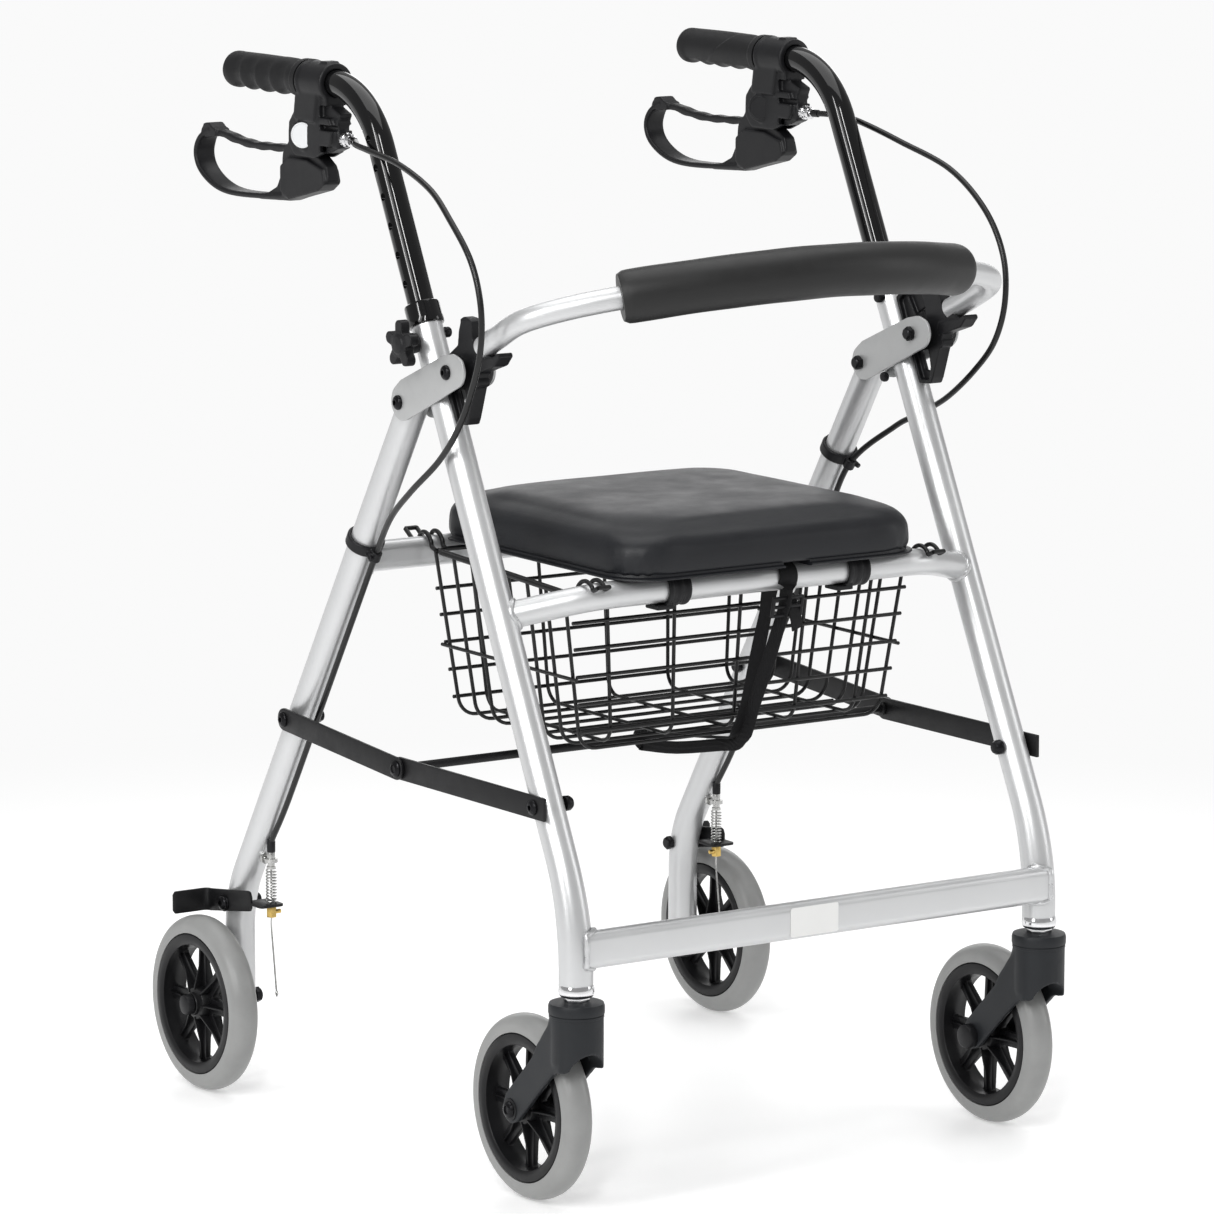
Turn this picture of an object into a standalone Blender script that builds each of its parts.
"""Folding four-wheeled walking frame (rollator) with seat, basket, padded backrest and loop brakes.

Metres, +Z up, ground at z = 0. The front of the walker faces -Y and the user stands at +Y.
"right" and "left" are the user's own sides: right is -X, left is +X.
Lengths along Y below are counted from the castor stems; CENTRE_Y moves them so that the
object's box is centred on the origin. Side pieces are described for the left and mirrored by
a sign. A place is (y, z) unless it has three numbers.
"""
import math
from collections import namedtuple

import bmesh
import bpy
import numpy as np

for old in list(bpy.data.objects):
    bpy.data.objects.remove(old, do_unlink=True)

# ---------------------------------------------------------------- driving dimensions
CENTRE_Y = 0.28015                  # castor stem line to the middle of the box
SIDES = (("right", -1.0), ("left", 1.0))
GAP = 0.0003                        # clearance between stacked parts
LEG_X = 0.229                       # half spacing of the leg planes
TUBE_R = 0.0127                     # leg tube
LEG_OUTER = LEG_X + TUBE_R          # outer face of the legs
LEG_INNER = LEG_X - TUBE_R          # inner face of the legs
SOCKET_TOP = (0.2186, 0.6842)       # upper end of the front leg
LEG_SLOPE = 0.4915                  # rearward lean of the front leg, dy/dz
FOLD_PIVOT = (0.2372, 0.6214)
PLATE_BOLT = (0.1653, 0.6537)
REAR_LEG_LEAN = 0.6163              # dy/dz, downwards and rearwards
WHEEL_R = 0.075
REAR_WHEEL = (0.2647, 0.5185, WHEEL_R)
REAR_LEG_Y = REAR_WHEEL[1]          # upright lower part of the rear leg
BRAKE_PIVOT = (REAR_LEG_Y, 0.1590)
BRAKE_TAB_Y = BRAKE_PIVOT[0] - 0.052
SEAT_TUBE = (0.0750, 0.4790)        # straight run of the tube under the seat
STAY_FRONT = (0.0385, 0.3235)
STAY_MID = (0.2376, 0.3220)
STAY_REAR = (0.4139, 0.3347)
HANDLE_R = 0.0110
HANDLE_TOP_Z = 0.8685
BACK_TUBE_R = 0.0095
KNOB_DROP = 0.0136                  # knob below the front leg's upper end, along the leg
SHANK_R = 0.0035                    # common bolt shank
BOLT_HOLE_R = 0.0039                # its clearance hole

COS_LEG = 1.0 / math.hypot(1.0, LEG_SLOPE)
LEG_UP = np.array([0.0, LEG_SLOPE * COS_LEG, COS_LEG])
COS_REAR = 1.0 / math.hypot(1.0, REAR_LEG_LEAN)
REAR_UP = np.array([0.0, -REAR_LEG_LEAN * COS_REAR, COS_REAR])

# Origins of the pieces
WORLD = (0.0, CENTRE_Y, 0.0)        # becomes the world origin once centred
FOLD_AXIS = (0.0, *FOLD_PIVOT)
SEAT_AXIS = (0.0, *SEAT_TUBE)

Look = namedtuple("Look", "colour metallic roughness")
ALUMINIUM = Look(colour=(0.78, 0.79, 0.80), metallic=0.9, roughness=0.32)
PLATE_GREY = Look(colour=(0.50, 0.51, 0.52), metallic=0.7, roughness=0.42)
BLACK_METAL = Look(colour=(0.025, 0.025, 0.027), metallic=0.3, roughness=0.35)
BLACK_PLASTIC = Look(colour=(0.03, 0.03, 0.032), metallic=0.0, roughness=0.45)
DARK_PLASTIC = Look(colour=(0.045, 0.047, 0.05), metallic=0.0, roughness=0.5)
CHROME = Look(colour=(0.82, 0.82, 0.83), metallic=1.0, roughness=0.15)
RUBBER = Look(colour=(0.03, 0.03, 0.03), metallic=0.0, roughness=0.8)
TYRE_GREY = Look(colour=(0.30, 0.30, 0.31), metallic=0.0, roughness=0.75)
FOAM_GREY = Look(colour=(0.06, 0.06, 0.065), metallic=0.0, roughness=0.9)
VINYL = Look(colour=(0.03, 0.032, 0.036), metallic=0.0, roughness=0.55)
WEBBING = Look(colour=(0.015, 0.015, 0.016), metallic=0.0, roughness=0.85)


# ---------------------------------------------------------------- objects and booleans
def material(name, look):
    mat = bpy.data.materials.new(name)
    mat.use_nodes = True
    shader = mat.node_tree.nodes["Principled BSDF"]
    shader.inputs["Base Color"].default_value = (*look.colour, 1.0)
    shader.inputs["Metallic"].default_value = look.metallic
    shader.inputs["Roughness"].default_value = look.roughness
    mat.diffuse_color = (*look.colour, 1.0)
    return mat


def solid(name, verts, faces, look=None, origin=WORLD, smooth=True):
    """A mesh object; verts and origin count y from the castor stems.

    Without a look it is a helper: a cutter or a piece to be joined.
    """
    origin = np.array(origin, float)
    mesh = bpy.data.meshes.new(name)
    mesh.from_pydata([tuple(np.array(vert, float) - origin) for vert in verts], [], faces)
    work = bmesh.new()
    work.from_mesh(mesh)
    bmesh.ops.recalc_face_normals(work, faces=work.faces)
    work.to_mesh(mesh)
    work.free()
    obj = bpy.data.objects.new(name, mesh)
    obj.location = tuple(origin - np.array(WORLD))
    bpy.context.scene.collection.objects.link(obj)
    if smooth:
        mesh.polygons.foreach_set("use_smooth", [True] * len(mesh.polygons))
        mesh.set_sharp_from_angle(angle=math.radians(35))
    if look is None:
        obj.hide_render = True
        obj.display_type = "WIRE"
    else:
        mesh.materials.append(material(name + "_material", look))
    return obj


def boolean(obj, helper, operation):
    mod = obj.modifiers.new(operation.lower() + "_" + helper.name, "BOOLEAN")
    mod.solver = "EXACT"
    mod.operation = operation
    mod.object = helper


def cut(obj, helper):
    boolean(obj, helper, "DIFFERENCE")


def join(obj, helper):
    boolean(obj, helper, "UNION")


# ---------------------------------------------------------------- sections and paths
def circle(radius, count):
    angles = np.arange(count) * 2 * math.pi / count
    return np.stack([radius * np.cos(angles), radius * np.sin(angles)], 1)


def stadium(width, height, steps=6):
    """Flat-oval section, its long side along the second coordinate."""
    radius, half_run = width / 2, (height - width) / 2
    angles = np.linspace(0, math.pi, steps + 1)
    top = np.stack([radius * np.cos(angles), half_run + radius * np.sin(angles)], 1)
    return np.concatenate([top, -top])


def capsule(start, end, half_width, extension=0.0, steps=6):
    """Round-ended strip outline; extension lengthens it beyond start."""
    start, end = np.array(start, float), np.array(end, float)
    along = (end - start) / np.linalg.norm(end - start)
    across = np.array([-along[1], along[0]])
    start = start - along * extension
    out = []
    for centre, first_angle in ((end, -math.pi / 2), (start, math.pi / 2)):
        for k in range(steps + 1):
            angle = first_angle + math.pi * k / steps
            offset = math.cos(angle) * along + math.sin(angle) * across
            out.append(tuple(centre + half_width * offset))
    return out


def rounded_rect(half_x, y0, y1, radius, z, steps):
    out = []
    corners = ((half_x - radius, y1 - radius, 0), (-half_x + radius, y1 - radius, 90),
               (-half_x + radius, y0 + radius, 180), (half_x - radius, y0 + radius, 270))
    for centre_x, centre_y, start in corners:
        for k in range(steps + 1):
            angle = math.radians(start + 90 * k / steps)
            out.append((centre_x + radius * math.cos(angle),
                        centre_y + radius * math.sin(angle), z))
    return out


def unit(vector):
    """The vector at length 1; a zero vector stays zero."""
    length = np.linalg.norm(vector)
    return vector / length if length > 1e-9 else np.zeros(3)


def fillet(points, radius, steps):
    """A polyline with its inner corners rounded."""
    points = [np.array(point, float) for point in points]
    out = [points[0]]
    for before, corner, after in zip(points, points[1:], points[2:]):
        back = unit(before - corner)
        ahead = unit(after - corner)
        half = math.acos(float(back @ ahead)) / 2
        length = radius / math.tan(half)
        centre = corner + unit(back + ahead) * (radius / math.sin(half))
        start = corner + back * length - centre
        end = corner + ahead * length - centre
        turn = math.pi - 2 * half
        for k in range(steps + 1):
            t = k / steps
            blend = math.sin((1 - t) * turn) * start + math.sin(t * turn) * end
            out.append(centre + blend / math.sin(turn))
    out.append(points[-1])
    return out


def frames(path, first_normal, closed=False):
    """(point, normal, binormal) along the path, carried on without twist."""
    path = [np.array(point, float) for point in path]
    count = len(path)
    normal = np.array(first_normal, float)
    out = []
    for i, point in enumerate(path):
        before = path[i - 1] if closed or i > 0 else point
        after = path[(i + 1) % count] if closed or i < count - 1 else point
        tangent = unit(unit(point - before) + unit(after - point))
        normal = unit(normal - tangent * float(normal @ tangent))
        out.append((point, normal, np.cross(tangent, normal)))
    return out


def section_ring(frame, section, scale=1.0):
    point, normal, binormal = frame
    return [point + normal * a * scale + binormal * b * scale for a, b in section]


# ---------------------------------------------------------------- solids
def sweep(name, path, section, first_normal, look=None, scales=None, closed=False, origin=WORLD):
    rings = frames(path, first_normal, closed)
    count, size = len(rings), len(section)
    verts = []
    for i, frame in enumerate(rings):
        verts += section_ring(frame, section, 1.0 if scales is None else scales[i])
    faces = []
    for i in range(count if closed else count - 1):
        j = (i + 1) % count
        for k in range(size):
            m = (k + 1) % size
            faces.append((i * size + k, i * size + m, j * size + m, j * size + k))
    if not closed:
        faces.append(tuple(range(size)))
        faces.append(tuple(range((count - 1) * size, count * size)))
    return solid(name, verts, faces, look, origin)


def hollow_sweep(name, path, outer, inner, first_normal, look, scales):
    """A sweep with a bore; scales act on the outer section only."""
    size = len(outer)
    verts = []
    for frame, scale in zip(frames(path, first_normal), scales):
        verts += section_ring(frame, outer, scale) + section_ring(frame, inner)
    faces = []
    last = (len(path) - 1) * 2 * size
    for here in range(0, last, 2 * size):
        there = here + 2 * size
        for k in range(size):
            m = (k + 1) % size
            faces.append((here + k, here + m, there + m, there + k))
            faces.append((here + size + m, here + size + k, there + size + k, there + size + m))
    for base in (0, last):
        for k in range(size):
            m = (k + 1) % size
            faces.append((base + k, base + size + k, base + size + m, base + m))
    return solid(name, verts, faces, look)


def revolve(name, profile, centre, axis, count, look=None, origin=WORLD, loop=False):
    """Turn a profile of (radius, distance along axis).

    loop closes it into a ring; otherwise both ends lie on the axis.
    """
    axis = unit(np.array(axis, float))
    side = np.array([0.0, 0.0, 1.0]) if abs(axis[2]) < 0.9 else np.array([1.0, 0.0, 0.0])
    side = unit(side - axis * float(side @ axis))
    other = np.cross(axis, side)
    centre = np.array(centre, float)
    verts, rings = [], []
    for radius, distance in profile:
        middle = centre + axis * distance
        if radius < 1e-9:
            rings.append([len(verts)] * count)
            verts.append(middle)
            continue
        rings.append(list(range(len(verts), len(verts) + count)))
        for k in range(count):
            angle = 2 * math.pi * k / count
            verts.append(middle + side * radius * math.cos(angle)
                         + other * radius * math.sin(angle))
    faces = []
    for i in range(len(rings) if loop else len(rings) - 1):
        here, there = rings[i], rings[(i + 1) % len(rings)]
        for k in range(count):
            m = (k + 1) % count
            # a ring on the axis is one vertex, so its repeats are dropped
            face = tuple(dict.fromkeys((here[k], here[m], there[m], there[k])))
            if len(face) > 2:
                faces.append(face)
    return solid(name, verts, faces, look, origin)


def sleeve(inner_r, outer_r, half_length):
    """Ring profile for revolve."""
    return [(inner_r, -half_length), (outer_r, -half_length),
            (outer_r, half_length), (inner_r, half_length)]


def rod(name, start, end, radius, count=12, look=None, origin=WORLD):
    start, end = np.array(start, float), np.array(end, float)
    length = float(np.linalg.norm(end - start))
    profile = [(0, 0), (radius, 0), (radius, length), (0, length)]
    return revolve(name, profile, start, end - start, count, look, origin)


def hole_x(name, place, radius, x0, x1, count=10):
    """A round cutter along X."""
    return rod(name, (x0, *place), (x1, *place), radius, count)


def leg_hole(name, sign, place, radius=BOLT_HOLE_R):
    """A cutter right through a leg plane."""
    return hole_x(name, place, radius, sign * (LEG_X - 0.02), sign * (LEG_X + 0.02))


def bolt(name, sign, place, steps, look=None, origin=WORLD, count=9):
    """A turned piece along X; steps are (radius, from, to), outwards from the middle plane."""
    profile = [(0, steps[0][1])]
    for radius, start, end in steps:
        profile += [(radius, start), (radius, end)]
    profile.append((0, steps[-1][2]))
    return revolve(name, profile, (0, *place), (sign, 0, 0), count, look, origin)


def prism(name, polygon, x0, x1, look=None, origin=WORLD):
    """A flat piece: polygon of (y, z) between two x planes."""
    size = len(polygon)
    verts = [(x0, y, z) for y, z in polygon] + [(x1, y, z) for y, z in polygon]
    faces = [tuple(range(size)), tuple(range(size, 2 * size))]
    faces += [(k, (k + 1) % size, size + (k + 1) % size, size + k) for k in range(size)]
    return solid(name, verts, faces, look, origin)


def block(name, low, high):
    (x0, y0, z0), (x1, y1, z1) = low, high
    return prism(name, [(y0, z0), (y1, z0), (y1, z1), (y0, z1)], x0, x1)


def loft(name, rings, look, origin=WORLD):
    size = len(rings[0])
    verts = [vert for ring in rings for vert in ring]
    faces = [tuple(range(size)), tuple(range((len(rings) - 1) * size, len(rings) * size))]
    for i in range(len(rings) - 1):
        for k in range(size):
            m = (k + 1) % size
            faces.append((i * size + k, i * size + m, (i + 1) * size + m, (i + 1) * size + k))
    return solid(name, verts, faces, look, origin)


def leg_point(x, distance):
    """A point on the front leg's upper axis, at a distance above the leg's upper end."""
    return np.array([x, *SOCKET_TOP]) + LEG_UP * distance


# ---------------------------------------------------------------- front and rear frames (welded)
STEM_Y = 0.0008                     # upright lower part of the front leg
FRONT_LEG_BOTTOM, REAR_LEG_BOTTOM = 0.1840, 0.0590
FRONT_BEND_R, REAR_BEND_R = 0.20, 0.10
FRONT_LEG_FLARE = 0.08              # widening of the front leg over its first points
REAR_LEG_OVERRUN = 0.0135           # rear leg beyond the fold pivot
FRONT_BAR = (-0.0078, 0.2150, 0.0305, 0.0150)    # y, z, height, depth
REAR_BAR = (0.3236, 0.4820, 0.0255, 0.0150)
SEAT_TUBE_R, SEAT_TUBE_BEND_R = 0.0110, 0.08
SEAT_TUBE_BEND_X = 0.163
SEAT_TUBE_END = (LEG_X - 0.006, 0.1090, 0.4640)
BORE_R, BORE_DEPTH = 0.0114, 0.205  # bore that takes the handle tube


def frame_legs(end, outline, bend_r, steps, flare=0.0, origin=WORLD):
    """Right and left legs; the right one becomes the frame, the left one is joined to it."""
    legs = []
    for side, sign in SIDES:
        path = fillet([(sign * LEG_X, y, z) for y, z in outline], bend_r, steps)
        scales = [1.0] + [1.0 + flare * min(1.0, k / 4) for k in range(len(path) - 1)]
        right = side == "right"
        legs.append(sweep(end + ("_frame" if right else "_leg_left_blank"), path,
                          circle(TUBE_R, 16), (1, 0, 0), ALUMINIUM if right else None,
                          scales, origin=origin))
    return legs


def frame_bar(end, y, z, height, depth):
    return sweep(end + "_bar_blank", [(-LEG_X, y, z), (LEG_X, y, z)],
                 stadium(depth, height), (0, 1, 0))


def build_front_frame():
    corner_z = SOCKET_TOP[1] - (SOCKET_TOP[0] - STEM_Y) / LEG_SLOPE
    outline = [SOCKET_TOP, (STEM_Y, corner_z), (STEM_Y, FRONT_LEG_BOTTOM)]
    frame, left_leg = frame_legs("front", outline, FRONT_BEND_R, 6, FRONT_LEG_FLARE)
    join(frame, frame_bar("front", *FRONT_BAR))
    end_x, *end_place = SEAT_TUBE_END
    seat_path = fillet([(-end_x, *end_place), (-SEAT_TUBE_BEND_X, *SEAT_TUBE),
                        (SEAT_TUBE_BEND_X, *SEAT_TUBE), (end_x, *end_place)],
                       SEAT_TUBE_BEND_R, 3)
    join(frame, sweep("seat_tube_blank", seat_path, circle(SEAT_TUBE_R, 14), (0, 0, 1)))
    join(frame, left_leg)
    for side, sign in SIDES:
        x = sign * LEG_X
        cut(frame, sweep("bore_" + side, [leg_point(x, 0.02), leg_point(x, -BORE_DEPTH)],
                         circle(BORE_R, 16), (1, 0, 0)))
        cut(frame, leg_hole("stay_hole_" + side, sign, STAY_FRONT))
        cut(frame, hole_x("knob_hole_" + side, leg_point(x, -KNOB_DROP)[1:], 0.0035,
                          sign * (LEG_X + 0.006), sign * (LEG_X + 0.02), 8))


def build_rear_frame():
    corner_z = FOLD_PIVOT[1] - (REAR_LEG_Y - FOLD_PIVOT[0]) / REAR_LEG_LEAN
    top = np.array(FOLD_PIVOT) + REAR_UP[1:] * REAR_LEG_OVERRUN
    outline = [top, (REAR_LEG_Y, corner_z), (REAR_LEG_Y, REAR_LEG_BOTTOM)]
    frame, left_leg = frame_legs("rear", outline, REAR_BEND_R, 5, origin=FOLD_AXIS)
    join(frame, frame_bar("rear", *REAR_BAR))
    join(frame, left_leg)
    for side, sign in SIDES:
        for tag, place, radius in (("fold", FOLD_PIVOT, 0.0040), ("stay", STAY_REAR, BOLT_HOLE_R),
                                   ("axle", REAR_WHEEL[1:], 0.0044),
                                   ("brake", BRAKE_PIVOT, BOLT_HOLE_R)):
            cut(frame, leg_hole("rear_%s_hole_%s" % (tag, side), sign, place, radius))


# ---------------------------------------------------------------- hinge plates and leg fittings
PLATE_FACE = 0.0028                 # leg face to the plate's far face
# (y, z) outline
PLATE = [(0.2466, 0.6305), (0.2497, 0.6180), (0.2391, 0.6070), (0.2270, 0.6077), (0.1435, 0.6455),
         (0.1390, 0.6556), (0.1434, 0.6662), (0.1567, 0.6695), (0.1714, 0.6663), (0.2344, 0.6400)]
# (radius, distance along the leg)
COLLAR = [(0.0116, 0), (0.0146, 0), (0.0150, 0.004), (0.0146, 0.018), (0.0116, 0.018)]


def build_hinge_plates(side, sign):
    for where, x0, x1 in (("outer", LEG_OUTER + GAP, LEG_OUTER + PLATE_FACE),
                          ("inner", LEG_INNER - PLATE_FACE, LEG_INNER - GAP)):
        label = where + "_" + side
        plate = prism("hinge_plate_" + label, PLATE, sign * x0, sign * x1, PLATE_GREY)
        for tag, place in (("a", FOLD_PIVOT), ("b", PLATE_BOLT)):
            cut(plate, hole_x("plate_hole_%s_%s" % (tag, label), place, BOLT_HOLE_R,
                              sign * (x0 - 0.01), sign * (x1 + 0.01)))


def build_hinge_bolts(side, sign):
    inner = LEG_INNER - PLATE_FACE - GAP
    outer = LEG_OUTER + PLATE_FACE + GAP
    steps = [(0.0058, inner - 0.0045, inner), (SHANK_R, inner, outer),
             (0.0060, outer, outer + 0.0035)]
    bolt("fold_bolt_" + side, sign, FOLD_PIVOT, steps, BLACK_METAL)
    bolt("plate_bolt_" + side, sign, PLATE_BOLT, steps, BLACK_METAL)


def build_socket_collar(side, sign):
    revolve("socket_collar_" + side, COLLAR, leg_point(sign * LEG_X, GAP), LEG_UP, 16,
            BLACK_PLASTIC, loop=True)


# ---------------------------------------------------------------- backrest
BRACKET_HALF_T = 0.0070
# (y, z) outline
BRACKET = [(0.1500, 0.6125), (0.1660, 0.6112), (0.2005, 0.6800), (0.1900, 0.6880), (0.1619, 0.6894),
           (0.1590, 0.6960), (0.1440, 0.6970), (0.1370, 0.6800), (0.1079, 0.6700), (0.1090, 0.6640),
           (0.1340, 0.6560), (0.1470, 0.6180)]
# Left half of the tube's centre line, (x, y, z) from its end to the middle
BACK_HALF = [(0.2290, 0.1500, 0.6680), (0.2315, 0.1100, 0.6870), (0.2290, 0.0800, 0.7020),
             (0.2060, 0.0530, 0.7135), (0.1680, 0.0320, 0.7220), (0.1150, 0.0080, 0.7300),
             (0.0600, -0.0070, 0.7350), (0.0, -0.0120, 0.7370)]
FOAM_R, FOAM_HALF = 0.0212, 0.168   # radius, half width in x
FOAM_END_SCALE = 0.93


def build_backrest_bracket(side, sign):
    bracket = prism("backrest_bracket_" + side, BRACKET, sign * (LEG_X - BRACKET_HALF_T),
                    sign * (LEG_X + BRACKET_HALF_T), BLACK_PLASTIC)
    cut(bracket, leg_hole("bracket_hole_" + side, sign, PLATE_BOLT, 0.0040))
    start, following = [np.array([sign * x, y, z]) for x, y, z in BACK_HALF[:2]]
    towards = unit(following - start)
    cut(bracket, rod("bracket_socket_" + side, start - towards * 0.002, start + towards * 0.06,
                     BACK_TUBE_R + 0.0007, 14))


def build_backrest():
    path = [(-x, y, z) for x, y, z in BACK_HALF] + BACK_HALF[-2::-1]
    sweep("backrest_tube", path, circle(BACK_TUBE_R, 12), (0, 0, 1), ALUMINIUM)
    foam_path = [point for point in path if abs(point[0]) <= FOAM_HALF + 0.001]
    scales = [FOAM_END_SCALE] + [1.0] * (len(foam_path) - 2) + [FOAM_END_SCALE]
    hollow_sweep("backrest_foam", foam_path, circle(FOAM_R, 12),
                 circle(BACK_TUBE_R + 0.0006, 12), (0, 0, 1), FOAM_GREY, scales)


# ---------------------------------------------------------------- seat
SEAT_HALF_X, SEAT_FRONT_Y, SEAT_REAR_Y = 0.150, 0.0460, 0.3460
SEAT_BOTTOM = 0.4965
# (inset, height above the underside, corner radius)
SEAT_LAYERS = [(0.010, 0, 0.034), (0.001, 0.005, 0.038), (0.0, 0.020, 0.040),
               (0.006, 0.031, 0.042), (0.022, 0.037, 0.042), (0.060, 0.0395, 0.040)]
SEAT_CLIP_X = 0.0883


def build_seat_pad():
    rings = [rounded_rect(SEAT_HALF_X - inset, SEAT_FRONT_Y + inset, SEAT_REAR_Y - inset,
                          radius, SEAT_BOTTOM + height, 4)
             for inset, height, radius in SEAT_LAYERS]
    loft("seat_pad", rings, VINYL, SEAT_AXIS)


def build_seat_clip(side, sign):
    """A sleeve round the seat tube with a tab that reaches up to the seat."""
    x = sign * SEAT_CLIP_X
    clip = revolve("seat_clip_" + side, sleeve(0.0115, 0.0140, 0.010), (x, *SEAT_TUBE),
                   (1, 0, 0), 16, BLACK_PLASTIC, SEAT_AXIS, loop=True)
    join(clip, block("seat_clip_tab_" + side, (x - 0.009, 0.0600, SEAT_TUBE[1] + 0.0122),
                     (x + 0.009, 0.1060, SEAT_BOTTOM - 0.0004)))


# ---------------------------------------------------------------- wheels
WINDOW_COUNT, WINDOW_HALF_DEPTH = 8, 0.02
TYRE_HALF_W = 0.014
# (radius, distance along the axle)
HUB = [(0.0044, -0.0135), (0.0140, -0.0135), (0.0140, -0.0045), (0.0515, -0.0045),
       (0.0515, -0.0115), (0.0590, -0.0115), (0.0590, 0.0115), (0.0515, 0.0115),
       (0.0515, 0.0045), (0.0140, 0.0045), (0.0140, 0.0135), (0.0044, 0.0135)]
TYRE = [(0.0603, -0.0118), (0.0655, -TYRE_HALF_W), (0.0715, -0.0118), (WHEEL_R, -0.0045),
        (WHEEL_R, 0.0045), (0.0715, 0.0118), (0.0655, TYRE_HALF_W), (0.0603, 0.0118)]
# One opening in the hub disc: (distance from the axle, distance across the spoke line)
WINDOW = [(0.0190, -0.0045), (0.0480, -0.0158), (0.0480, 0.0158), (0.0190, 0.0045)]


def build_wheel(prefix, side, centre):
    hub = revolve("%s_hub_%s" % (prefix, side), HUB, centre, (1, 0, 0), 16, BLACK_PLASTIC,
                  centre, loop=True)
    verts, faces = [], []
    for window in range(WINDOW_COUNT):
        angle = 2 * math.pi * window / WINDOW_COUNT
        cos, sin = math.cos(angle), math.sin(angle)
        base = len(verts)
        for x in (-WINDOW_HALF_DEPTH, WINDOW_HALF_DEPTH):
            for out, across in WINDOW:
                verts.append((centre[0] + x, centre[1] + out * cos - across * sin,
                              centre[2] + out * sin + across * cos))
        faces += [tuple(range(base, base + 4)), tuple(range(base + 4, base + 8))]
        for i in range(4):
            j = (i + 1) % 4
            faces.append((base + i, base + j, base + 4 + j, base + 4 + i))
    cut(hub, solid("%s_windows_%s" % (prefix, side), verts, faces, smooth=False))
    revolve("%s_tyre_%s" % (prefix, side), TYRE, centre, (1, 0, 0), 20, TYRE_GREY, centre,
            loop=True)


def build_rear_wheel(side, sign):
    wheel_x, *place = REAR_WHEEL
    build_wheel("rear_wheel", side, (sign * wheel_x, *place))
    hub_half = 0.0139
    steps = [(0.0065, LEG_INNER - 0.0065, LEG_INNER - GAP),
             (0.0040, LEG_INNER - GAP, LEG_OUTER + GAP),
             (0.0075, LEG_OUTER + GAP, wheel_x - hub_half),
             (0.0040, wheel_x - hub_half, wheel_x + hub_half),
             (0.0100, wheel_x + hub_half, wheel_x + 0.0175),
             (0.0070, wheel_x + 0.0175, wheel_x + 0.0200)]
    bolt("rear_axle_" + side, sign, place, steps, BLACK_METAL, FOLD_AXIS, 12)


# ---------------------------------------------------------------- castors
CASTOR_WHEEL = (0.0637, WHEEL_R)    # trails behind the stem
FORK_PLATE_X = (0.0162, 0.0205)     # faces of a fork plate from the leg plane
STEM_BORE_R, STEM_BORE_Z = 0.0056, (0.1505, 0.1900)
# (y, z) outline of a fork plate
FORK = [(-0.0140, 0.1680), (0.0140, 0.1680), (0.0230, 0.1400), (0.0330, 0.1230), (0.0720, 0.0860),
        (0.0757, 0.0750), (0.0720, 0.0660), (0.0637, 0.0630), (0.0550, 0.0665), (0.0060, 0.1030),
        (-0.0190, 0.1120), (-0.0235, 0.1250), (-0.0215, 0.1450)]
# (radius, z)
FORK_CROWN = [(0, 0.1450), (0.0205, 0.1450), (0.0215, 0.1480), (0.0215, 0.1690),
              (0.0195, 0.1735), (0, 0.1735)]
STEM = [(0, 0.1515), (0.0050, 0.1515), (0.0050, 0.1765), (0.0110, 0.1765), (0.0110, 0.1810),
        (0.0085, 0.1815), (0.0085, 0.1836), (0, 0.1836)]
# (radius, distance from the wheel's middle)
CASTOR_AXLE = [(0, -0.0240), (0.0080, -0.0240), (0.0080, -0.0190), (0.0040, -0.0190),
               (0.0040, 0.0190), (0.0080, 0.0190), (0.0080, 0.0240), (0, 0.0240)]


def build_castor(side, sign):
    x = sign * LEG_X
    swivel = (x, 0.0, 0.0)
    axle_at = (x, *CASTOR_WHEEL)
    build_wheel("castor_wheel", side, axle_at)
    revolve("castor_stem_" + side, STEM, swivel, (0, 0, 1), 12, CHROME)
    fork = revolve("castor_fork_" + side, FORK_CROWN, swivel, (0, 0, 1), 20, DARK_PLASTIC, swivel)
    near, far = FORK_PLATE_X
    for tag, x0, x1 in (("a", near, far), ("b", -far, -near)):
        join(fork, prism("fork_plate_%s_%s" % (tag, side), FORK, x + x0, x + x1))
    join(fork, revolve("castor_axle_" + side, CASTOR_AXLE, axle_at, (1, 0, 0), 12))
    low, high = STEM_BORE_Z
    cut(fork, rod("stem_bore_" + side, (x, 0, low), (x, 0, high), STEM_BORE_R))


# ---------------------------------------------------------------- brake shoes
BLADE_Y, BLADE_END_X, BLADE_T = 0.5490, 0.2780, 0.0024      # brake blade across the tyre
BLADE_LOW, BLADE_TOP = 0.1478, 0.1672
# (y, z) outline of the arm beside the leg
SHOE_ARM = [(0.4755, 0.1585), (0.5440, BLADE_LOW), (BLADE_Y, BLADE_LOW), (BLADE_Y, BLADE_TOP),
            (0.4800, 0.1767), (0.4745, 0.1740)]
TAB_INNER_X, TAB_LOW, TAB_TOP = 0.2200, 0.1640, 0.1664      # tab that the cable passes through


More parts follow.
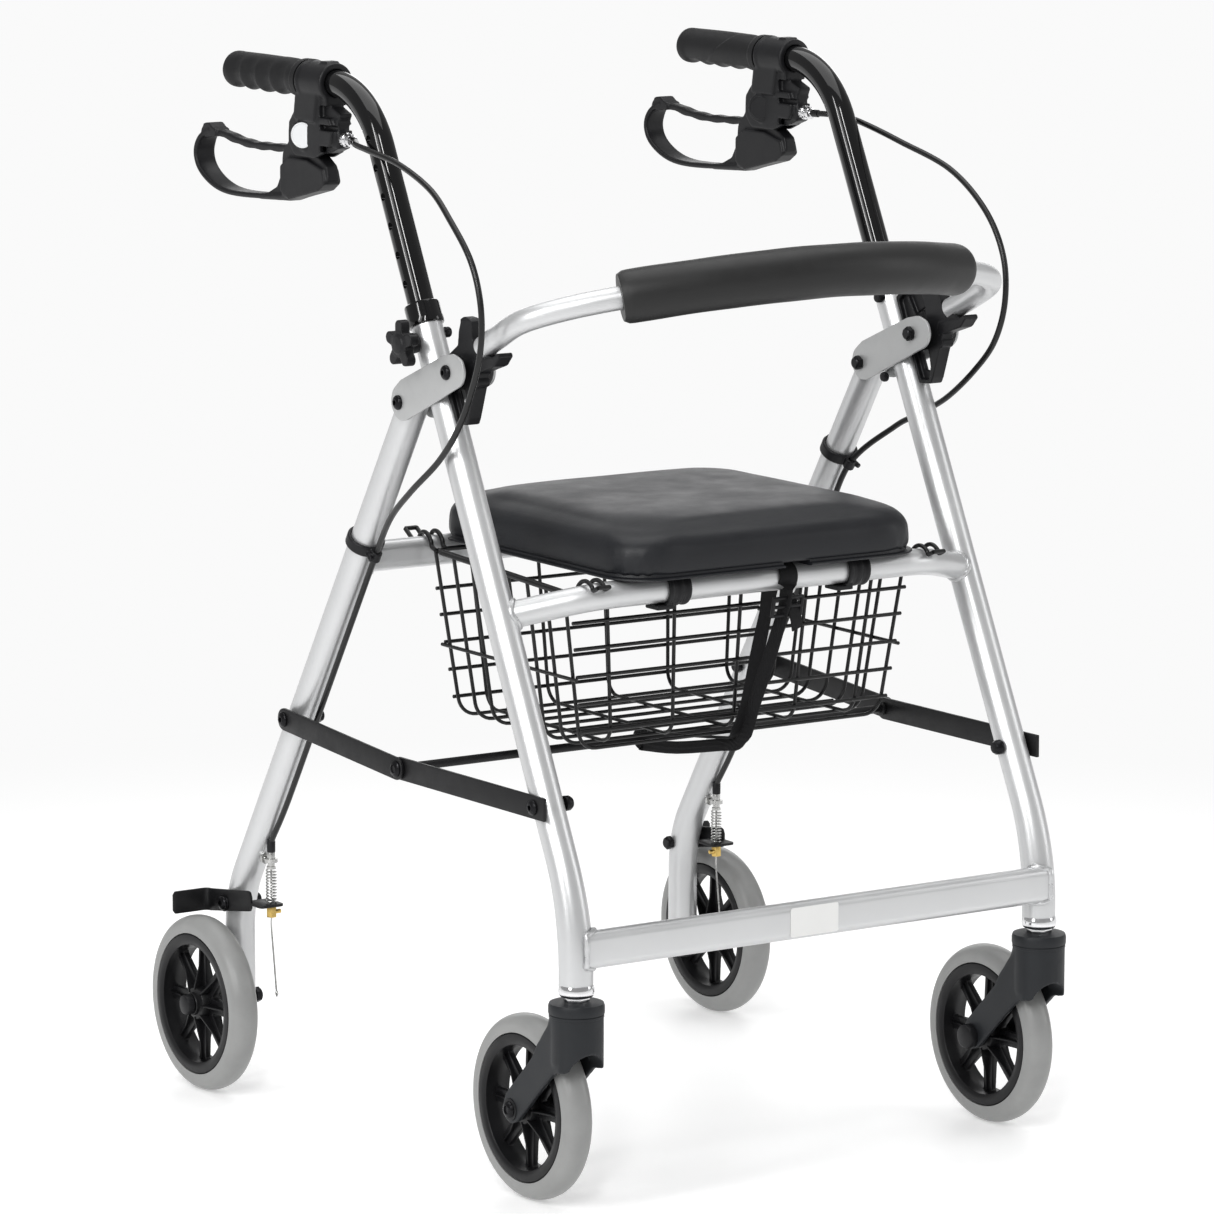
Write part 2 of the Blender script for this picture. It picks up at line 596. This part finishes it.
def build_brake_shoe(side, sign):
    x = sign * LEG_X
    shoe = prism("brake_shoe_" + side, SHOE_ARM, sign * (LEG_OUTER + 0.0006),
                 sign * (LEG_OUTER + 0.0030), BLACK_METAL, (x, *BRAKE_PIVOT))
    blade_front = BLADE_Y - BLADE_T
    blade = [(blade_front, BLADE_LOW), (BLADE_Y, BLADE_LOW),
             (BLADE_Y, BLADE_TOP), (blade_front, BLADE_TOP)]
    join(shoe, prism("shoe_blade_" + side, blade, sign * (LEG_OUTER + 0.0012),
                     sign * BLADE_END_X))
    tab_x0, tab_x1 = sorted((sign * TAB_INNER_X, sign * (LEG_OUTER + 0.0024)))
    join(shoe, block("shoe_tab_" + side, (tab_x0, BRAKE_TAB_Y - 0.008, TAB_LOW),
                     (tab_x1, BRAKE_TAB_Y + 0.020, TAB_TOP)))
    cut(shoe, rod("tab_hole_" + side, (x, BRAKE_TAB_Y, 0.150), (x, BRAKE_TAB_Y, 0.180),
                  0.0022, 8))
    steps = [(0.0060, LEG_INNER - 0.0055, LEG_INNER - GAP),
             (SHANK_R, LEG_INNER - GAP, LEG_OUTER + 0.0016),
             (0.0062, LEG_OUTER + 0.0016, LEG_OUTER + 0.0062)]
    join(shoe, bolt("shoe_bolt_blank_" + side, sign, BRAKE_PIVOT, steps))


# ---------------------------------------------------------------- stays and cross rod
STAY_HALF_W, STAY_T = 0.0093, 0.0028
FRONT_STAY_X = LEG_OUTER + GAP                  # inner face of the front stay
REAR_STAY_X = LEG_OUTER + 2 * GAP + STAY_T      # the rear stay lies outside the front one
RIVET_R, RIVET_SINK, RIVET_HEIGHT = 0.0072, 0.001, 0.0028


def build_stays(side, sign):
    for end, outline, x0, place in (
            ("front", capsule(STAY_FRONT, STAY_MID, STAY_HALF_W, 0.006), FRONT_STAY_X, STAY_FRONT),
            ("rear", capsule(STAY_MID, STAY_REAR, STAY_HALF_W), REAR_STAY_X, STAY_REAR)):
        stay = prism("stay_%s_%s" % (end, side), outline, sign * x0, sign * (x0 + STAY_T),
                     BLACK_METAL, (0, *place))
        cut(stay, hole_x("stay_%s_hole_%s" % (end, side), place, BOLT_HOLE_R,
                         sign * (LEG_OUTER - 0.01), sign * (LEG_OUTER + 0.02)))
    # the loop ends on the rear stay, which carries the rivet
    face = REAR_STAY_X + STAY_T
    join(stay, rod("stay_rivet_" + side, (sign * (face - RIVET_SINK), *STAY_MID),
                   (sign * (face + RIVET_HEIGHT), *STAY_MID), RIVET_R))


def build_stay_bolts(side, sign):
    head = (0.0062, LEG_INNER - 0.0052, LEG_INNER - GAP)
    nut_r, nut_t = 0.0065, 0.0030
    front_nut = FRONT_STAY_X + STAY_T + GAP
    bolt("stay_bolt_front_" + side, sign, STAY_FRONT,
         [head, (SHANK_R, LEG_INNER - GAP, front_nut), (nut_r, front_nut, front_nut + nut_t)],
         BLACK_METAL)
    # a spacer fills the thickness of the front stay
    spacer_end = FRONT_STAY_X + STAY_T
    rear_nut = REAR_STAY_X + STAY_T + GAP
    bolt("stay_bolt_rear_" + side, sign, STAY_REAR,
         [head, (SHANK_R, LEG_INNER - GAP, FRONT_STAY_X), (0.0060, FRONT_STAY_X, spacer_end),
          (SHANK_R, spacer_end, rear_nut), (nut_r, rear_nut, rear_nut + nut_t)],
         BLACK_METAL, FOLD_AXIS)


def build_cross_rod():
    rod("cross_rod", (-LEG_OUTER, *STAY_MID), (LEG_OUTER, *STAY_MID), 0.0036,
        look=BLACK_METAL, origin=(0, *STAY_FRONT))


# ---------------------------------------------------------------- basket
BASKET_TOP = (0.170, 0.100, 0.310, 0.4635)       # half width, front y, rear y, z
BASKET_BOTTOM = (0.150, 0.130, 0.299, 0.3450)
BASKET_WALL = 0.0025
# Up the outside, over the rim, down the inside: (outline, lift, inset, corner radius)
BASKET_RINGS = [(BASKET_BOTTOM, 0, 0.010, 0.016), (BASKET_BOTTOM, 0.003, 0.003, 0.021),
                (BASKET_BOTTOM, 0.010, 0.0, 0.024), (BASKET_TOP, 0, 0.0, 0.024),
                (BASKET_TOP, 0, BASKET_WALL, 0.0215), (BASKET_BOTTOM, 0.010, BASKET_WALL, 0.0215),
                (BASKET_BOTTOM, BASKET_WALL, 0.010, 0.016)]


def build_basket():
    rings = []
    for (half_x, front, rear, z), lift, inset, radius in BASKET_RINGS:
        rings.append(rounded_rect(half_x - inset, front + inset, rear - inset, radius, z + lift, 3))
    loft("basket", rings, BLACK_METAL)


# ---------------------------------------------------------------- handles and grips
HANDLE_INSERT = 0.100               # length inside the front leg
HANDLE_BEND_R, HANDLE_END_Y = 0.045, 0.508
GRIP_R, GRIP_START, GRIP_END = 0.0148, 0.3965, 0.5165
GRIP_BORE_R, GRIP_END_WALL = 0.0117, 0.0065
RIDGE_COUNT, RIDGE_PITCH, RIDGE_DEPTH = 4, 0.022, 0.0020


def build_handle_tube(side, sign):
    x = sign * LEG_X
    corner_y = SOCKET_TOP[0] + (HANDLE_TOP_Z - SOCKET_TOP[1]) * LEG_SLOPE
    path = fillet([leg_point(x, -HANDLE_INSERT), (x, corner_y, HANDLE_TOP_Z),
                   (x, HANDLE_END_Y, HANDLE_TOP_Z)], HANDLE_BEND_R, 6)
    sweep("handle_tube_" + side, path, circle(HANDLE_R, 16), (1, 0, 0), BLACK_METAL,
          origin=(x, *SOCKET_TOP))


def build_grip(side, sign):
    """A cup over the handle's end, open towards the brake housing."""
    x = sign * LEG_X
    floor = GRIP_END - GRIP_END_WALL
    flange_r = GRIP_R + 0.002
    profile = [(0, floor), (GRIP_BORE_R, floor), (GRIP_BORE_R, GRIP_START),
               (flange_r, GRIP_START), (flange_r, GRIP_START + 0.006),
               (GRIP_R, GRIP_START + 0.010)]
    for k in range(RIDGE_COUNT):
        y = GRIP_START + 0.023 + RIDGE_PITCH * k
        profile += [(GRIP_R - RIDGE_DEPTH, y), (GRIP_R, y + RIDGE_PITCH / 2)]
    profile += [(GRIP_R + 0.0012, GRIP_END - 0.004), (GRIP_R - 0.002, GRIP_END), (0, GRIP_END)]
    revolve("grip_" + side, profile, (x, 0, HANDLE_TOP_Z), (0, 1, 0), 12, RUBBER,
            (x, *SOCKET_TOP))


# ---------------------------------------------------------------- brake housings and levers
LEVER_PIVOT = (0.3998, 0.8239)
HOUSING_HALF_T, SLOT_HALF_T, LEVER_HALF_T = 0.0115, 0.0062, 0.0057
PIN_R, PIN_HALF = 0.0032, 0.0135
BOSS_R, BOSS_X = 0.0095, (0.0105, 0.0138)
ADJUSTER_R, ADJUSTER_Z = 0.0045, 0.8235
# (y, z) outlines
CHEEK = [(0.3500, 0.8620), (0.3935, 0.8620), (0.3955, 0.8505), (0.4170, 0.8420), (0.4170, 0.8160),
         (0.4060, 0.8060), (0.3740, 0.8080), (0.3500, 0.8180), (0.3440, 0.8330)]
LEVER = [(0.3998, 0.8385), (0.4110, 0.8350), (0.4190, 0.8230), (0.4290, 0.8150), (0.4560, 0.8125),
         (0.4848, 0.8119), (0.5141, 0.8165), (0.5504, 0.8200), (0.5680, 0.8120), (0.5757, 0.7960),
         (0.5676, 0.7781), (0.5429, 0.7651), (0.5100, 0.7613), (0.4210, 0.7668), (0.3733, 0.7801),
         (0.3600, 0.7880), (0.3640, 0.8000), (0.3800, 0.8100), (0.3860, 0.8300)]
LEVER_WINDOW = [(0.4360, 0.8050), (0.5240, 0.8050), (0.5420, 0.8095), (0.5560, 0.8030),
                (0.5625, 0.7930), (0.5560, 0.7835), (0.5380, 0.7745), (0.5100, 0.7700),
                (0.4450, 0.7755), (0.4330, 0.7850)]


def build_brake_housing(side, sign):
    """A slotted housing clamped on the handle tube, with the lever's pin."""
    x = sign * LEG_X
    housing = prism("brake_housing_" + side, CHEEK, x - HOUSING_HALF_T, x + HOUSING_HALF_T,
                    BLACK_PLASTIC, (x, *SOCKET_TOP))
    join(housing, rod("clamp_blank_" + side, (x, 0.3560, HANDLE_TOP_Z),
                      (x, 0.3925, HANDLE_TOP_Z), 0.0168, 16))
    cut(housing, rod("clamp_bore_" + side, (x, 0.3300, HANDLE_TOP_Z),
                     (x, 0.4200, HANDLE_TOP_Z), 0.0115, 16))
    cut(housing, block("lever_slot_" + side, (x - SLOT_HALF_T, 0.3580, 0.7900),
                       (x + SLOT_HALF_T, 0.4400, 0.8500)))
    join(housing, hole_x("lever_pin_blank_" + side, LEVER_PIVOT, PIN_R,
                         x - PIN_HALF, x + PIN_HALF))
    near, far = BOSS_X
    for tag, x0, x1 in (("a", near, far), ("b", -far, -near)):
        join(housing, hole_x("lever_boss_%s_%s" % (tag, side), LEVER_PIVOT, BOSS_R,
                             x + x0, x + x1, 14))
    join(housing, rod("adjuster_blank_" + side, (x, 0.3530, ADJUSTER_Z),
                      (x, 0.3310, ADJUSTER_Z), ADJUSTER_R, 10))


def build_brake_lever(side, sign):
    x = sign * LEG_X
    lever = prism("brake_lever_" + side, LEVER, x - LEVER_HALF_T, x + LEVER_HALF_T,
                  BLACK_PLASTIC, (x, *LEVER_PIVOT))
    cut(lever, prism("lever_window_" + side, LEVER_WINDOW, x - 0.02, x + 0.02))
    cut(lever, hole_x("lever_hole_" + side, LEVER_PIVOT, 0.0037, x - 0.02, x + 0.02))


# ---------------------------------------------------------------- height knobs
STAR_POINTS, STAR_LOBES = 25, 5
STAR_R, STAR_WAVE = 0.0148, 0.0044  # mean radius, height of the lobes


def build_height_knob(side, sign):
    centre = leg_point(sign * LEG_X, -KNOB_DROP)
    _, y, z = centre
    steps = [(0.0030, LEG_X + HANDLE_R + 0.0006, LEG_OUTER + 0.0008),
             (0.0070, LEG_OUTER + 0.0008, LEG_OUTER + 0.0075),
             (0.0090, LEG_OUTER + 0.0075, LEG_OUTER + 0.0165)]
    knob = bolt("height_knob_" + side, sign, (y, z), steps, BLACK_PLASTIC, centre, 10)
    star = []
    for k in range(STAR_POINTS):
        angle = 2 * math.pi * k / STAR_POINTS
        radius = STAR_R + STAR_WAVE * math.cos(STAR_LOBES * angle)
        star.append((y + radius * math.cos(angle), z + radius * math.sin(angle)))
    join(knob, prism("knob_star_" + side, star, sign * (LEG_OUTER + 0.0055),
                     sign * (LEG_OUTER + 0.0145)))


# ---------------------------------------------------------------- cables and their clips
CABLE_R = 0.0025
CABLE_OFFSET = 0.0188               # cable in front of the rear leg's axis
CLIP_Z = {"right": 0.497, "left": 0.540}
# From the brake housing to the clip: (distance from the middle plane, y, z)
CABLE = {
    "right": [(0.2290, 0.3300, 0.8235), (0.2360, 0.3150, 0.8240), (0.2450, 0.3000, 0.8235),
              (0.2480, 0.2750, 0.8210), (0.2500, 0.2260, 0.8140), (0.2550, 0.1720, 0.7990),
              (0.2575, 0.1390, 0.7780), (0.2580, 0.1090, 0.7500), (0.2580, 0.0950, 0.7200),
              (0.2560, 0.0960, 0.6880), (0.2530, 0.1100, 0.6550), (0.2500, 0.1370, 0.6150),
              (0.2480, 0.1700, 0.5830), (0.2475, 0.2140, 0.5520), (0.2400, 0.2570, 0.5240)],
    "left": [(0.2290, 0.3300, 0.8235), (0.2360, 0.3150, 0.8235), (0.2450, 0.3000, 0.8215),
             (0.2480, 0.2750, 0.8165), (0.2515, 0.2340, 0.8060), (0.2560, 0.1700, 0.7880),
             (0.2580, 0.1240, 0.7580), (0.2580, 0.0990, 0.7230), (0.2570, 0.0940, 0.6860),
             (0.2540, 0.1030, 0.6520), (0.2520, 0.1270, 0.6250), (0.2500, 0.1640, 0.5970),
             (0.2490, 0.2040, 0.5780), (0.2450, 0.2300, 0.5650)]}
# Lower end: (y from the shoe's tab, z, scale of the cable's section)
CABLE_END = [(0.0005, 0.2070, 1.6), (0.0005, 0.2050, 1.7), (0, 0.1760, 1.7),
             (0, 0.1740, 0.5), (0, 0.1560, 0.45), (-0.0120, 0.0950, 0.4)]


def before_rear_leg(x, z, offset):
    """A point in front of the rear leg's straight part, offset from its axis."""
    y = FOLD_PIVOT[0] + (FOLD_PIVOT[1] - z) * REAR_LEG_LEAN
    return np.array([x, y - offset / COS_REAR, z])


def build_cable_clip(side, sign):
    middle = before_rear_leg(sign * LEG_X, CLIP_Z[side], 0.0)
    clip = revolve("cable_clip_" + side, sleeve(0.0134, 0.0156, 0.004), middle, REAR_UP, 14,
                   BLACK_PLASTIC, FOLD_AXIS, loop=True)
    forward = np.array([0.0, -COS_REAR, -REAR_LEG_LEAN * COS_REAR])
    ear_base = middle + forward * 0.0146 + np.array([sign * 0.0050, 0, 0])
    join(clip, rod("clip_ear_" + side, ear_base, ear_base + forward * 0.0080, 0.0016, 8))


def build_brake_cable(side, sign):
    x, clip_z = sign * LEG_X, CLIP_Z[side]
    path = [(sign * point_x, y, z) for point_x, y, z in CABLE[side]]
    path.append(before_rear_leg(x, clip_z, 0.0190))
    path += [before_rear_leg(x, z, CABLE_OFFSET) for z in (clip_z - 0.06, 0.380, 0.270)]
    path.append((x, BRAKE_TAB_Y, 0.2120))
    scales = [1.0] * len(path) + [scale for _, _, scale in CABLE_END]
    path += [(x, BRAKE_TAB_Y + y, z) for y, z, _ in CABLE_END]
    sweep("brake_cable_" + side, path, circle(CABLE_R, 6), (1, 0, 0), BLACK_PLASTIC, scales)


# ---------------------------------------------------------------- fold strap
STRAP_X, STRAP_HALF_W, STRAP_T = 0.0280, 0.0090, 0.0012
# (y, z) runs behind and in front, between the seat tube and the cross rod
STRAP_REAR_RUN = [(0.0925, 0.4560), (0.1220, 0.3480), (0.1290, 0.3400), (0.1400, 0.3365)]
STRAP_FRONT_RUN = [(0.1350, 0.3230), (0.1200, 0.3290), (0.1140, 0.3400), (0.0660, 0.4560)]


def arc(centre, radius, degrees):
    angles = [math.radians(degree) for degree in degrees]
    return [(centre[0] + radius * math.cos(angle), centre[1] + radius * math.sin(angle))
            for angle in angles]


def build_fold_strap():
    """A closed loop over the seat tube and round the cross rod."""
    outline = (arc(SEAT_TUBE, 0.0124, (200, 165, 130, 95, 60, 25, -10)) + STRAP_REAR_RUN
               + arc(STAY_MID, 0.0056, (95, 50, 0, -50, -95)) + STRAP_FRONT_RUN)
    half_t = STRAP_T / 2
    section = [(-STRAP_HALF_W, -half_t), (STRAP_HALF_W, -half_t),
               (STRAP_HALF_W, half_t), (-STRAP_HALF_W, half_t)]
    sweep("fold_strap", [(STRAP_X, y, z) for y, z in outline], section, (1, 0, 0), WEBBING,
          closed=True)


# ---------------------------------------------------------------- assembly
for build in (build_front_frame, build_rear_frame, build_backrest, build_seat_pad,
              build_cross_rod, build_basket, build_fold_strap):
    build()
for build in (build_hinge_plates, build_hinge_bolts, build_socket_collar,
              build_backrest_bracket, build_seat_clip, build_rear_wheel, build_castor,
              build_brake_shoe, build_stays, build_stay_bolts, build_handle_tube, build_grip,
              build_brake_housing, build_brake_lever, build_height_knob, build_cable_clip,
              build_brake_cable):
    for side_name, side_sign in SIDES:
        build(side_name, side_sign)
